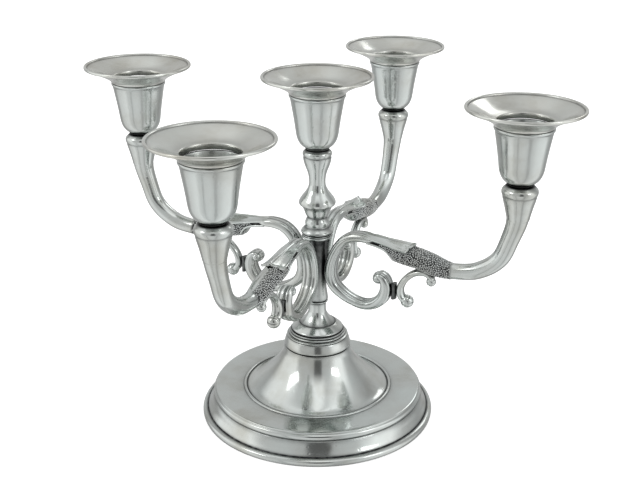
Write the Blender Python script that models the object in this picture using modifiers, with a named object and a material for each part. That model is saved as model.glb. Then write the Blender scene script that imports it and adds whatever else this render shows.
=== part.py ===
"""Tabletop candelabra with four scroll arms and five candle cups, in cast pewter.

The sizes below are in millimetres. The model is made in metres, +Z up, with its origin on the
table at the middle of the foot and its arms along +X, +Y, -X and -Y.
"""

import math

import bmesh
import bpy
from mathutils import Matrix, Vector

MM = 0.001

# Fits
GAP = 0.3  # left between pieces that touch
ROD_CLEARANCE = 0.3  # round the tie rod, the studs and the dowels, in radius

# Foot and column, from the table up
FOOT_RADIUS = 58.0
FOOT_HEIGHT = 36.0
FOOT_WALL = 2.0
FOOT_TOP_RADIUS = 16.4
LEDGE_HEIGHT = 14.2
LEDGE_RING_RADIUS = 35.0
BASE_RING_HEIGHT = 8.2
STEM_BASE_RADIUS = 12.7
LOWER_STEM_HEIGHT = 15.1
HUB_HEIGHT = 31.8
HUB_FLARE = 0.9  # in radius, at the hub's foot
COLLAR_HEIGHT = 2.5
UPPER_STEM_HEIGHT = 41.1

# Tie rod, nut and washer
ROD_RADIUS = 2.0
ROD_TOP_ABOVE_COLLAR = 16.0
WASHER_RADIUS = 9.0
WASHER_THICKNESS = 1.2
NUT_ACROSS_CORNERS = 9.2
NUT_HEIGHT = 3.4
ROD_BELOW_NUT = 1.5

# Candle cups, drip pans and their studs
CUP_HEIGHT = 25.9
CUP_WALL = 1.3
CUP_BAND_RADIUS = 13.2
CUP_FLOOR_HEIGHT = 7.0
PAN_RADIUS = 26.0
PAN_HEIGHT = 8.3
PAN_WALL = 0.9
PAN_RIM = 0.75  # radius of the rolled rim
STUD_RADIUS = 2.0
STUD_IN_STEM = 6.5
STUD_IN_CUP = 3.8
STUD_END_ROOM = 0.5

# Arms
ARMS = 4
ARM_REACH = 97.0
ARM_RISE = 55.7  # from the dowels up to the cup's seat
VASE_HEIGHT = 20.0
VASE_RADIUS = 8.1
TUBE_IN_VASE = 6.0
STRAP_WIDTH = 8.0
STRAP_CORNER_ROOM = 0.7  # between the backs of neighbouring scrolls
BACK_HALF_THICKNESS = 2.65  # of the scroll, where it lies against the hub
DOWEL_ABOVE_HUB_FOOT = 16.3
BOSS_RADIUS = 2.9
DOWEL_RADIUS = 1.2
DOWEL_IN_STRAP = 3.3
ARM_ROOM = 1.2  # times the gap, kept clear round the arm by the ornament's faceted cuts

# Section of the scroll's bar, as shares of its half width and half thickness
BAR_SECTION = (
    (1, 0.62), (0.72, 1), (-0.72, 1), (-1, 0.62),
    (-1, -0.62), (-0.72, -1), (0.72, -1), (1, -0.62),
)

# Facets
FOOT_STEPS = 32
FLARE_SPANS = 5
PAN_STEPS = 20
CUP_STEPS = 16
STEM_STEPS = 16
ROUND_STEPS = 10

# Places that follow from the sizes
BASE_RING_Z = FOOT_HEIGHT + GAP
LOWER_STEM_Z = BASE_RING_Z + BASE_RING_HEIGHT + GAP
HUB_Z = LOWER_STEM_Z + LOWER_STEM_HEIGHT + GAP
COLLAR_Z = HUB_Z + HUB_HEIGHT + GAP
UPPER_STEM_Z = COLLAR_Z + COLLAR_HEIGHT + GAP
CENTRE_SEAT_Z = UPPER_STEM_Z + UPPER_STEM_HEIGHT
SCROLL_BACK = STRAP_WIDTH / 2 + STRAP_CORNER_ROOM
HUB_RADIUS = SCROLL_BACK - GAP
SCROLL_LEVEL = HUB_Z + DOWEL_ABOVE_HUB_FOOT
SCROLL_SPREAD = HUB_HEIGHT / 31.8  # the arms are drawn for a hub of 31.8
ARM_SEAT_Z = SCROLL_LEVEL + ARM_RISE
BORE_RADIUS = ROD_RADIUS + ROD_CLEARANCE
STUD_BORE = STUD_RADIUS + ROD_CLEARANCE
FOOT_CEILING = FOOT_HEIGHT - FOOT_WALL * 1.3
DIRECTIONS = ("px", "py", "nx", "ny")


# Scene and materials


def clear_scene():
    for thing in list(bpy.data.objects):
        bpy.data.objects.remove(thing, do_unlink=True)


def new_collection(name):
    collection = bpy.data.collections.new(name)
    bpy.context.scene.collection.children.link(collection)
    return collection


def metal(name, colour, roughness):
    material = bpy.data.materials.new(name)
    material.use_nodes = True
    shader = material.node_tree.nodes["Principled BSDF"]
    shader.inputs["Base Color"].default_value = (*colour, 1.0)
    shader.inputs["Metallic"].default_value = 1.0
    shader.inputs["Roughness"].default_value = roughness
    return material


def part(name, mesh, material, smooth=True):
    """Adds one named piece to the candelabra's collection."""
    piece = bpy.data.objects.new(name, mesh)
    if not mesh.materials:
        mesh.materials.append(material)
    parts.objects.link(piece)
    if smooth:
        mesh.shade_smooth()
        mesh.set_sharp_from_angle(angle=math.radians(35))
    return piece


def tool(name, mesh):
    """Adds a cutter or a guide, which is no piece of the candelabra."""
    cutter = bpy.data.objects.new(name, mesh)
    cutter.hide_render = True
    cutter.display_type = "WIRE"
    tools.objects.link(cutter)
    return cutter


# Shapes


def turned(name, outline, steps, material, place=(0.0, 0.0, 0.0)):
    """A turned piece. The outline runs down its outer side, and closes on itself unless both
    ends lie on the axis."""
    on_axis = outline[0][0] == 0 and outline[-1][0] == 0
    mesh = bpy.data.meshes.new(name)
    points = [(r * MM, 0.0, z * MM) for r, z in outline]
    edges = [(i, i + 1) for i in range(len(points) - 1)]
    if not on_axis:
        edges.append((len(points) - 1, 0))
    mesh.from_pydata(points, edges, [])
    piece = part(name, mesh, material, smooth=False)
    screw = piece.modifiers.new("Turned", "SCREW")
    screw.steps = screw.render_steps = steps
    screw.use_merge_vertices = True
    screw.merge_threshold = 0.00001
    screw.use_smooth_shade = True
    piece.location = Vector(place) * MM
    return piece


def cylinder_mesh(name, radius, depth, steps=ROUND_STEPS, matrix=None):
    """A solid cylinder along Z, or a prism, centred where the matrix puts it."""
    mesh = bpy.data.meshes.new(name)
    bm = bmesh.new()
    bmesh.ops.create_cone(
        bm, cap_ends=True, segments=steps, radius1=radius * MM, radius2=radius * MM, depth=depth * MM
    )
    if matrix is not None:
        bm.transform(matrix)
    bm.to_mesh(mesh)
    bm.free()
    return mesh


def tube_mesh(name, points, bevel_resolution, grow=0.0):
    """A round bar through points (reach, height, radius) in the plane of the arm."""
    curve = bpy.data.curves.new(name, "CURVE")
    curve.dimensions = "3D"
    curve.bevel_depth = MM
    curve.bevel_resolution = bevel_resolution
    curve.use_fill_caps = True
    spline = curve.splines.new("POLY")
    spline.points.add(len(points) - 1)
    for point, (reach, height, radius) in zip(spline.points, points):
        point.co = (reach * MM, 0.0, height * MM, 1.0)
        point.radius = radius + grow
    wire = bpy.data.objects.new(name, curve)
    tools.objects.link(wire)
    bpy.context.view_layer.update()
    mesh = bpy.data.meshes.new_from_object(wire.evaluated_get(bpy.context.evaluated_depsgraph_get()))
    bpy.data.objects.remove(wire)
    bpy.data.curves.remove(curve)
    bm = bmesh.new()
    bm.from_mesh(mesh)
    bmesh.ops.remove_doubles(bm, verts=bm.verts, dist=0.000001)
    bm.to_mesh(mesh)
    bm.free()
    return mesh


def loft_mesh(name, stations, grow=0.0):
    """A bar of eight-sided section through stations (reach, height, half thickness, half width)."""
    bm = bmesh.new()
    rings = []
    for i, (reach, height, thick, wide) in enumerate(stations):
        ahead = stations[min(i + 1, len(stations) - 1)]
        behind = stations[max(i - 1, 0)]
        along = Vector((ahead[0] - behind[0], ahead[1] - behind[1])).normalized()
        across = Vector((-along.y, along.x))
        thick, wide = thick + grow, wide + grow
        ring = []
        for side, up in BAR_SECTION:
            spot = Vector((reach, height)) + across * (up * thick)
            ring.append(bm.verts.new((spot.x * MM, side * wide * MM, spot.y * MM)))
        rings.append(ring)
    for near, far in zip(rings, rings[1:]):
        for k in range(len(near)):
            n = (k + 1) % len(near)
            bm.faces.new((near[k], near[n], far[n], far[k]))
    bm.faces.new(rings[0][::-1])
    bm.faces.new(rings[-1])
    bmesh.ops.recalc_face_normals(bm, faces=bm.faces)
    mesh = bpy.data.meshes.new(name)
    bm.to_mesh(mesh)
    bm.free()
    return mesh


def ball_mesh(name, centre, radius, stretch=1.0):
    """A ball in the plane of the arm, stretched sideways."""
    mesh = bpy.data.meshes.new(name)
    bm = bmesh.new()
    bmesh.ops.create_uvsphere(bm, u_segments=8, v_segments=5, radius=radius * MM)
    bm.transform(
        Matrix.Translation(Vector((centre[0], 0.0, centre[1])) * MM)
        @ Matrix.Diagonal((1.0, stretch, 1.0, 1.0))
        @ Matrix.Rotation(math.radians(90), 4, "X")
    )
    bm.to_mesh(mesh)
    bm.free()
    return mesh


def combined(name, meshes, cutters):
    """One solid: the first mesh joined with the rest, less the cutters."""
    base = tool(name, meshes[0])
    others = [tool(m.name, m) for m in meshes[1:]]
    takers = [tool(m.name, m) for m in cutters]
    for other in others + takers:
        step = base.modifiers.new(other.name, "BOOLEAN")
        step.operation = "UNION" if other in others else "DIFFERENCE"
        step.solver = "EXACT"
        step.object = other
    bpy.context.view_layer.update()
    mesh = bpy.data.meshes.new_from_object(base.evaluated_get(bpy.context.evaluated_depsgraph_get()))
    for used in [base, *others, *takers]:
        bpy.data.objects.remove(used)
    bm = bmesh.new()
    bm.from_mesh(mesh)
    bmesh.ops.remove_doubles(bm, verts=bm.verts, dist=0.000005)
    bmesh.ops.dissolve_degenerate(bm, edges=bm.edges, dist=0.000005)
    bmesh.ops.triangulate(bm, faces=bm.faces)
    bm.to_mesh(mesh)
    bm.free()
    mesh.name = name
    return mesh


def stretched(outline, height):
    """An outline (radius, height) drawn from 0 up to its own height, stretched to this one."""
    drawn = max(z for _, z in outline)
    return [(r, z * height / drawn) for r, z in outline]


def arc(centre, radius, start, end, count):
    """Points on a round moulding, from one angle to another, in degrees."""
    turn = [math.radians(start + (end - start) * k / count) for k in range(count + 1)]
    return [(centre[0] + radius * math.cos(a), centre[1] + radius * math.sin(a)) for a in turn]


# Foot and column


def foot_outline():
    """The flare, the ledge with its ring, the cove and the base bead, then the hollow inside."""
    flare = []
    bottom = LEDGE_HEIGHT + 0.2
    for k in range(FLARE_SPANS + 1):
        t = 1 - k / FLARE_SPANS
        reach = FOOT_TOP_RADIUS + (LEDGE_RING_RADIUS - 1.7 - FOOT_TOP_RADIUS) * (1 - t) ** 1.28
        flare.append((reach, bottom + t * (FOOT_HEIGHT - 0.8 - bottom)))
    outer = [(BORE_RADIUS, FOOT_HEIGHT), (FOOT_TOP_RADIUS - 0.3, FOOT_HEIGHT)]
    outer += flare
    ring = LEDGE_RING_RADIUS
    outer += [(ring - 0.7, LEDGE_HEIGHT - 0.4), (ring, LEDGE_HEIGHT + 0.4), (ring + 1.0, LEDGE_HEIGHT + 0.3)]
    outer += [(ring + 2.0, LEDGE_HEIGHT - 0.4), (FOOT_RADIUS - 7.8, LEDGE_HEIGHT)]
    outer += arc((FOOT_RADIUS - 7.8, LEDGE_HEIGHT - 1.0), 1.0, 60, 0, 2)
    outer += [(FOOT_RADIUS - 6.2, LEDGE_HEIGHT - 3.8), (FOOT_RADIUS - 5.7, LEDGE_HEIGHT - 4.4)]
    outer += [(FOOT_RADIUS - 4.5, LEDGE_HEIGHT - 7.6), (FOOT_RADIUS - 2.7, 3.8), (FOOT_RADIUS - 2.5, 3.4)]
    outer += arc((FOOT_RADIUS - 1.7, 1.7), 1.7, 75, -45, 3)
    outer += [(FOOT_RADIUS - 0.9, 0.0)]
    inner = [(FOOT_RADIUS - 3.4, 0.0), (FOOT_RADIUS - 4.6 - FOOT_WALL, LEDGE_HEIGHT - 5.4)]
    inner += [(FOOT_RADIUS - 7.2 - FOOT_WALL, LEDGE_HEIGHT - FOOT_WALL)]
    inner += [(LEDGE_RING_RADIUS - FOOT_WALL, LEDGE_HEIGHT - FOOT_WALL)]
    inner += [(r - FOOT_WALL * 1.1, z - FOOT_WALL) for r, z in flare[-2:0:-1]]
    inner += [(inner[-1][0] - 0.4, FOOT_CEILING), (BORE_RADIUS, FOOT_CEILING)]
    return outer + inner


def drilled(outline):
    """Gives a column piece its bore for the tie rod."""
    return [(BORE_RADIUS, outline[0][1]), *outline, (BORE_RADIUS, outline[-1][1])]


def make_column():
    turned("foot", foot_outline(), FOOT_STEPS, pewter)

    neck, seat = STEM_BASE_RADIUS, FOOT_TOP_RADIUS
    base_ring = [(neck, 8.2), (neck + 0.6, 7.6), (neck + 0.2, 7.2), (neck + 1.3, 6.9), (neck + 1.3, 6.4)]
    base_ring += [(neck + 0.8, 6.2), (seat - 1.4, 5.9), (seat - 1.4, 5.4), (seat - 1.9, 5.2)]
    base_ring += [(seat - 1.2, 4.9), (seat + 0.1, 0.4), (seat - 0.2, 0.0)]
    outline = drilled(stretched(base_ring, BASE_RING_HEIGHT))
    turned("base_ring", outline, STEM_STEPS, pewter, (0, 0, BASE_RING_Z))

    lower_stem = [(4.6, 15.1), (5.1, 14.7), (5.1, 14.2), (4.3, 13.8), (4.3, 9.6), (5.8, 6.85)]
    lower_stem += [(neck - 3.8, 3.4), (neck - 3.8, 3.1), (neck - 2.9, 2.5), (neck, 0.1), (neck, 0.0)]
    outline = drilled(stretched(lower_stem, LOWER_STEM_HEIGHT))
    turned("lower_stem", outline, STEM_STEPS, pewter, (0, 0, LOWER_STEM_Z))

    hub_foot = HUB_RADIUS + HUB_FLARE
    hub = [(HUB_RADIUS, 31.8), (HUB_RADIUS, 6.0), (hub_foot, 1.6), (hub_foot, 0.0)]
    outline = drilled(stretched(hub, HUB_HEIGHT))
    arm_hub = turned("arm_hub", outline, STEM_STEPS, pewter, (0, 0, HUB_Z))
    for k in range(ARMS // 2):
        turn = Matrix.Rotation(math.radians(90), 4, "Y")
        drill = cylinder_mesh(f"dowel_drill_{k}", DOWEL_RADIUS + ROD_CLEARANCE, 3 * HUB_RADIUS, matrix=turn)
        cutter = tool(drill.name, drill)
        cutter.location.z = SCROLL_LEVEL * MM
        cutter.rotation_euler.z = math.tau * k / ARMS
        cut = arm_hub.modifiers.new(drill.name, "BOOLEAN")
        cut.operation = "DIFFERENCE"
        cut.object = cutter

    collar = [(6.2, 2.5), (7.0, 2.3), (7.4, 1.9), (6.9, 1.5), (7.5, 1.1), (7.4, 0.5), (6.6, 0.0)]
    outline = drilled(stretched(collar, COLLAR_HEIGHT))
    turned("ring_collar", outline, STEM_STEPS, pewter, (0, 0, COLLAR_Z))

    upper_stem = [(5.7, 41.1), (5.8, 40.6), (6.6, 39.9), (6.8, 38.2), (6.3, 35.2), (4.9, 31.3), (3.9, 28.0)]
    upper_stem += [(3.9, 23.3), (4.7, 21.3), (6.4, 18.8), (8.4, 15.0), (8.7, 14.3), (7.7, 11.7)]
    upper_stem += [(6.3, 9.6), (4.5, 6.3), (4.4, 5.0), (6.8, 1.9), (7.8, 0.2), (7.6, 0.0)]
    outline = stretched(upper_stem, UPPER_STEM_HEIGHT)
    rod_hole = ROD_TOP_ABOVE_COLLAR + STUD_END_ROOM
    stud_hole = UPPER_STEM_HEIGHT - STUD_IN_STEM - STUD_END_ROOM
    top = [(0.0, stud_hole), (STUD_BORE, stud_hole), (STUD_BORE, UPPER_STEM_HEIGHT)]
    bottom = [(BORE_RADIUS, 0.0), (BORE_RADIUS, rod_hole), (0.0, rod_hole)]
    turned("upper_stem", top + outline + bottom, STEM_STEPS, pewter, (0, 0, UPPER_STEM_Z))


def make_fastening():
    """The tie rod, and the washer and nut that draw the column together inside the foot."""
    washer_z = FOOT_CEILING - GAP - WASHER_THICKNESS
    washer = [(WASHER_RADIUS, WASHER_THICKNESS), (WASHER_RADIUS, 0.0)]
    turned("foot_washer", drilled(washer), STEM_STEPS, steel, (0, 0, washer_z))

    nut_z = washer_z - GAP - NUT_HEIGHT
    place = Matrix.Translation((0, 0, (nut_z + NUT_HEIGHT / 2) * MM))
    nut = cylinder_mesh("nut", NUT_ACROSS_CORNERS / 2, NUT_HEIGHT, steps=6, matrix=place)
    thread = cylinder_mesh("thread", BORE_RADIUS, 2 * NUT_HEIGHT, steps=STEM_STEPS, matrix=place)
    part("foot_nut", combined("foot_nut", [nut], [thread]), steel, smooth=False)

    low, high = nut_z - ROD_BELOW_NUT, UPPER_STEM_Z + ROD_TOP_ABOVE_COLLAR
    middle = Matrix.Translation((0, 0, (low + high) / 2 * MM))
    part("tie_rod", cylinder_mesh("tie_rod", ROD_RADIUS, high - low, matrix=middle), steel)


# Candle cups


def cup_outline():
    """The tapered candle socket, its band and bowl, and the hole for the stud below."""
    height = CUP_HEIGHT
    band = CUP_BAND_RADIUS
    floor = CUP_FLOOR_HEIGHT
    socket = [(0.0, floor), (band - 3.2 - CUP_WALL, floor), (band - 1.5 - CUP_WALL, height - 6.8)]
    socket += [(band - CUP_WALL, height - 0.2), (band - CUP_WALL + 0.3, height)]
    outside = [(band - 0.3, height), (band, height - 0.4), (band - 0.1, height - 1.1)]
    outside += [(band - 0.8, height - 1.8), (band - 1.5, height - 6.8), (band - 3.0, height - 16.4)]
    outside += [(band - 3.9, 4.6), (band - 5.8, 1.7), (band - 7.4, 0.0)]
    hole = STUD_IN_CUP + STUD_END_ROOM
    return socket + outside + [(STUD_BORE, 0.0), (STUD_BORE, hole), (0.0, hole)]


def pan_outline():
    """The flared pan: its rolled rim, its underside, its neck on the cup, and its dish."""
    rim = PAN_RADIUS - PAN_RIM
    top = PAN_HEIGHT - PAN_RIM
    neck = CUP_BAND_RADIUS
    outline = arc((rim, top), PAN_RIM, 180, -90, 3)
    # The flare is drawn as shares of the way out to the rim and of the way up to it.
    flare = [(0.0, 0.084), (0.2, 0.289), (0.5, 0.494)]
    flare = [(neck + u * (rim - neck), v * PAN_HEIGHT) for u, v in flare]
    outline += [(rim - 1.2, 0.759 * PAN_HEIGHT), *flare[::-1], (neck, 0.0)]
    inside = neck - 1.3 * PAN_WALL
    outline += [(inside, 0.0), (inside + 0.1, 0.265 * PAN_HEIGHT)]
    outline += [(reach, height + PAN_WALL) for reach, height in flare[1:]]
    return outline


def make_candle_place(prefix, x, y, seat):
    """The stud, cup and pan that stand on a seat."""
    middle = seat + GAP + STUD_IN_CUP - (STUD_IN_STEM + STUD_IN_CUP + GAP) / 2
    stud = cylinder_mesh(f"{prefix}_stud", STUD_RADIUS, STUD_IN_STEM + STUD_IN_CUP + GAP)
    stud_piece = part(f"{prefix}_stud", stud, steel)
    stud_piece.location = Vector((x, y, middle)) * MM
    cup_z = seat + GAP
    turned(f"{prefix}_cup", cup_outline(), CUP_STEPS, pewter, (x, y, cup_z))
    pan_z = cup_z + CUP_HEIGHT + GAP
    turned(f"{prefix}_pan", pan_outline(), PAN_STEPS, satin_pewter, (x, y, pan_z))


# Arms


def in_scroll(points):
    """Puts points drawn as (out from the scroll's back, above the dowels, sizes) in their place."""
    return [(SCROLL_BACK + out, SCROLL_LEVEL + up * SCROLL_SPREAD, *sizes) for out, up, *sizes in points]


def bar_stations(points):
    """Stations of a bar whose last number is its share of the scroll's half width."""
    return [(*place, share * STRAP_WIDTH / 2) for *place, share in in_scroll(points)]


def strap_stations():
    """The C-scroll: from the leaf, over the top, down the hub, and up into the curl."""
    back = BACK_HALF_THICKNESS
    return bar_stations([
        (26.8, 19.7, 2.0, 0.85),
        (23.3, 20.5, 2.3, 1.0),
        (18.7, 20.4, 2.3, 1.0),
        (13.5, 19.1, 2.3, 1.0),
        (9.1, 16.0, 2.4, 1.0),
        (5.7, 11.3, 2.4, 1.0),
        (3.6, 6.5, 2.5, 1.0),
        (back, 2.0, back, 1.0),
        (back, -1.9, back, 1.0),
        (4.5, -6.8, 2.6, 1.0),
        (8.9, -10.7, 2.3, 1.0),
        (14.3, -13.3, 2.0, 1.0),
        (20.2, -14.5, 2.1, 1.0),
        (25.5, -13.0, 2.5, 1.0),
        (30.2, -8.9, 2.9, 1.0),
        (31.8, -4.2, 2.8, 1.0),
        (31.2, -0.3, 2.5, 1.0),
        (28.5, 1.5, 1.6, 0.95),
    ])


def leaf_stations():
    """The leaf tongue that laps over the start of the tube, to its pointed tip."""
    return bar_stations([
        (22.3, 20.5, 2.0, 0.85),
        (26.3, 20.4, 2.0, 1.03),
        (30.3, 19.6, 2.4, 1.16),
        (34.6, 18.7, 2.9, 1.32),
        (39.2, 18.4, 2.9, 1.48),
        (42.3, 19.1, 1.9, 1.38),
        (45.6, 20.1, 0.6, 0.35),
    ])


def arm_path():
    """The round tube from the leaf out to the vase at the arm's end, with its radius."""
    inner = [(25.3, 19.3, 2.4), (29.3, 17.9, 3.9), (35.8, 15.6, 4.9), (41.3, 14.5, 4.9)]
    inner = in_scroll(inner + [(46.8, 13.8, 4.8), (52.8, 12.2, 5.0), (56.8, 11.2, 4.5), (60.8, 10.5, 3.8)])
    start_reach, start_height, _ = inner[-1]
    # The rest is drawn as shares of the way out and of the way up into the vase.
    rise = ARM_SEAT_Z - VASE_HEIGHT + TUBE_IN_VASE - start_height
    way = ARM_REACH - start_reach
    outer = [(0.16, 0.0, 3.6), (0.39, 0.045, 3.85), (0.58, 0.125, 3.95), (0.72, 0.235, 4.0)]
    outer += [(0.83, 0.38, 4.05), (0.91, 0.62, 4.2), (0.98, 0.86, 4.6), (1.0, 1.0, 4.9)]
    return inner + [(start_reach + way * u, start_height + rise * v, radius) for u, v, radius in outer]


def vase_mesh():
    """The turned end of the arm, up to the bead and the seat of the cup."""
    bottom = ARM_SEAT_Z - VASE_HEIGHT
    swell = VASE_RADIUS
    outline = [(0.0, 20.0), (swell - 1.3, 20.0), (swell - 1.2, 19.4), (swell - 0.2, 18.3), (swell, 17.2)]
    outline += [(swell - 0.2, 15.6), (swell - 1.0, 12.6), (swell - 2.4, 8.4), (swell - 3.3, 4.2)]
    outline += [(swell - 3.8, 0.0), (0.0, 0.0)]
    outline = [(r, bottom + z * VASE_HEIGHT / 20.0) for r, z in outline]
    mesh = bpy.data.meshes.new("vase")
    bm = bmesh.new()
    line = [bm.verts.new((r * MM, 0.0, z * MM)) for r, z in outline]
    edges = [bm.edges.new(pair) for pair in zip(line, line[1:])]
    bmesh.ops.spin(
        bm, geom=line + edges, cent=(0, 0, 0), axis=(0, 0, 1), angle=math.tau, steps=STEM_STEPS,
        use_merge=True,
    )
    bmesh.ops.remove_doubles(bm, verts=bm.verts, dist=0.000001)
    bmesh.ops.recalc_face_normals(bm, faces=bm.faces)
    bm.transform(Matrix.Translation((ARM_REACH * MM, 0, 0)))
    bm.to_mesh(mesh)
    bm.free()
    return mesh


def arm_mesh():
    strap = loft_mesh("strap", strap_stations())
    leaf = loft_mesh("leaf", leaf_stations())
    tube = tube_mesh("tube", arm_path(), 2)
    reach, height = in_scroll([(27.6, 0.8)])[0]
    across = Matrix.Rotation(math.radians(90), 4, "X")
    place = Matrix.Translation((reach * MM, 0, height * MM)) @ across
    boss = cylinder_mesh("boss", BOSS_RADIUS, STRAP_WIDTH + 2 * GAP, matrix=place)
    depth = STUD_IN_STEM + STUD_END_ROOM
    place = Matrix.Translation(Vector((ARM_REACH, 0, ARM_SEAT_Z)) * MM)
    stud_hole = cylinder_mesh("stud_hole", STUD_BORE, 2 * depth, matrix=place)
    place = Matrix.Translation(Vector((SCROLL_BACK, 0, SCROLL_LEVEL)) * MM)
    along = Matrix.Rotation(math.radians(90), 4, "Y")
    dowel_depth = DOWEL_IN_STRAP + STUD_END_ROOM
    dowel_hole = cylinder_mesh(
        "dowel_hole", DOWEL_RADIUS + ROD_CLEARANCE, 2 * dowel_depth, matrix=place @ along
    )
    return combined("arm", [strap, leaf, tube, boss, vase_mesh()], [stud_hole, dowel_hole])


def ornament_mesh():
    """The small C-scroll under the arm, with its beads, its bar against the curl and its web."""
    drawn = [(41.3, -8.5, 1.9), (39.2, -6.6, 1.9), (38.6, -4.3, 1.8), (39.1, -1.3, 1.7), (41.5, 2.5, 1.65)]
    drawn += [(45.3, 5.3, 1.6), (49.3, 6.4, 1.6), (52.7, 5.1, 1.5), (53.8, 3.5, 1.4)]
    scroll = tube_mesh("small_scroll", in_scroll(drawn), 2)
    beads = in_scroll([(41.9, -9.1, 2.8, 1.15), (54.0, 2.9, 2.1, 1.1)])
    meshes = [ball_mesh(f"bead_{k}", bead[:2], *bead[2:]) for k, bead in enumerate(beads)]
    meshes.append(loft_mesh("bar", in_scroll([(35.6, -9.1, 2.0, 1.9), (35.9, -0.5, 2.0, 1.9)])))
    meshes.append(loft_mesh("web", in_scroll([(45.3, 7.5, 2.6, 1.1), (55.3, 8.1, 2.8, 1.1)])))
    clear_of_arm = [
        tube_mesh("tube_room", arm_path(), 2, grow=GAP * ARM_ROOM),
        loft_mesh("strap_room", strap_stations(), grow=GAP * ARM_ROOM),
    ]
    return combined("ornament", [scroll, *meshes], clear_of_arm)


def make_arms():
    arm, ornament = arm_mesh(), ornament_mesh()
    inner_end = BORE_RADIUS + GAP
    outer_end = SCROLL_BACK + DOWEL_IN_STRAP
    place = Matrix.Translation(((inner_end + outer_end) / 2 * MM, 0, 0))
    along = Matrix.Rotation(math.radians(90), 4, "Y")
    dowel = cylinder_mesh("dowel", DOWEL_RADIUS, outer_end - inner_end, steps=8, matrix=place @ along)
    for k, direction in enumerate(DIRECTIONS):
        turn = math.tau * k / ARMS
        for name, mesh in (("arm", arm), ("ornament", ornament)):
            piece = part(f"{name}_{direction}", mesh, pewter)
            piece.rotation_euler.z = turn
        pin = part(f"dowel_{direction}", dowel, steel)
        pin.location.z = SCROLL_LEVEL * MM
        pin.rotation_euler.z = turn
        x, y = ARM_REACH * math.cos(turn), ARM_REACH * math.sin(turn)
        make_candle_place(direction, x, y, ARM_SEAT_Z)


clear_scene()
parts = new_collection("tabletop_candelabra")
tools = new_collection("cutters")
pewter = metal("pewter", (0.62, 0.62, 0.60), 0.22)
satin_pewter = metal("satin_pewter", (0.66, 0.65, 0.61), 0.34)
steel = metal("steel", (0.45, 0.46, 0.47), 0.35)
make_column()
make_fastening()
make_candle_place("centre", 0.0, 0.0, CENTRE_SEAT_Z)
make_arms()
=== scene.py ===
import math

import bmesh
import bpy
import numpy as np
from mathutils import Matrix, Vector


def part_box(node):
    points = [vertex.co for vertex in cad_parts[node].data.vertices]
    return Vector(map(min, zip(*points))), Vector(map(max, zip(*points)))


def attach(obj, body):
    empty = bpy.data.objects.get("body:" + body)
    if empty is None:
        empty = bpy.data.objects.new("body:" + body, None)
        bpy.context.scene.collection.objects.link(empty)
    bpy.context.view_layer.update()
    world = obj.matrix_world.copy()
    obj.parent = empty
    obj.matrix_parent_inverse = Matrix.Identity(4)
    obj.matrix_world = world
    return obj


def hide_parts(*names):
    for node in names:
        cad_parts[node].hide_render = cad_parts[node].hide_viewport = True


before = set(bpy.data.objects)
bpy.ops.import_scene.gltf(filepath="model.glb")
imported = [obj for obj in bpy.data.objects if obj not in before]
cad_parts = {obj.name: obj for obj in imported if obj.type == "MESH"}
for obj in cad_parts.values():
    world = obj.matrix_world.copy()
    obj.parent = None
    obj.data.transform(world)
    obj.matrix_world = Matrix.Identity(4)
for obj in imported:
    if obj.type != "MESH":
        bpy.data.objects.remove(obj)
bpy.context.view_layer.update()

mm = 0.001
weld = 0.002 * mm  # points nearer than this are one
directions = ("px", "py", "nx", "ny")

# camera, light and floor

studio = {
    "distance": 0.5028,  # from the column, along the floor, in metres
    "height": 0.2863,
    "azimuth": 25.0,
    "pitch": 22.51,
    "lens": 63.13,
    "shift": (0.0042, 0.0386),
    "floorRadius": 4.0,
    "floorGlow": 0.62,
}


def nodesOf(tree):
    # shorthands for adding a node and joining two sockets
    def add(kind, **values):
        node = tree.nodes.new(kind)
        for key, value in values.items():
            if key.startswith("in_"):
                key = key[3:].replace("_", " ")
                node.inputs[int(key) if key.isdigit() else key].default_value = value
            else:
                setattr(node, key, value)
        return node

    def join(start, end):
        tree.links.new(start, end)

    return add, join


def ramp(node, stops):
    # stops are (place, grey or colour)
    line = node.color_ramp
    while len(line.elements) > 1:
        line.elements.remove(line.elements[-1])
    for k, (place, colour) in enumerate(stops):
        stop = line.elements[0] if k == 0 else line.elements.new(place)
        stop.position = place
        if isinstance(colour, (int, float)):
            colour = (colour, colour, colour)
        stop.color = (*colour, 1.0)


def makeCamera():
    cameraData = bpy.data.cameras.new("studioCamera")
    cameraData.lens = studio["lens"]
    cameraData.shift_x, cameraData.shift_y = studio["shift"]
    cameraData.clip_start, cameraData.clip_end = 0.01, 20.0
    camera = bpy.data.objects.new("studioCamera", cameraData)
    bpy.context.scene.collection.objects.link(camera)
    turn = math.radians(studio["azimuth"])
    camera.location = (
        studio["distance"] * math.sin(turn),
        -studio["distance"] * math.cos(turn),
        studio["height"],
    )
    camera.rotation_euler = (math.radians(90 - studio["pitch"]), 0, turn)
    bpy.context.scene.camera = camera


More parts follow.
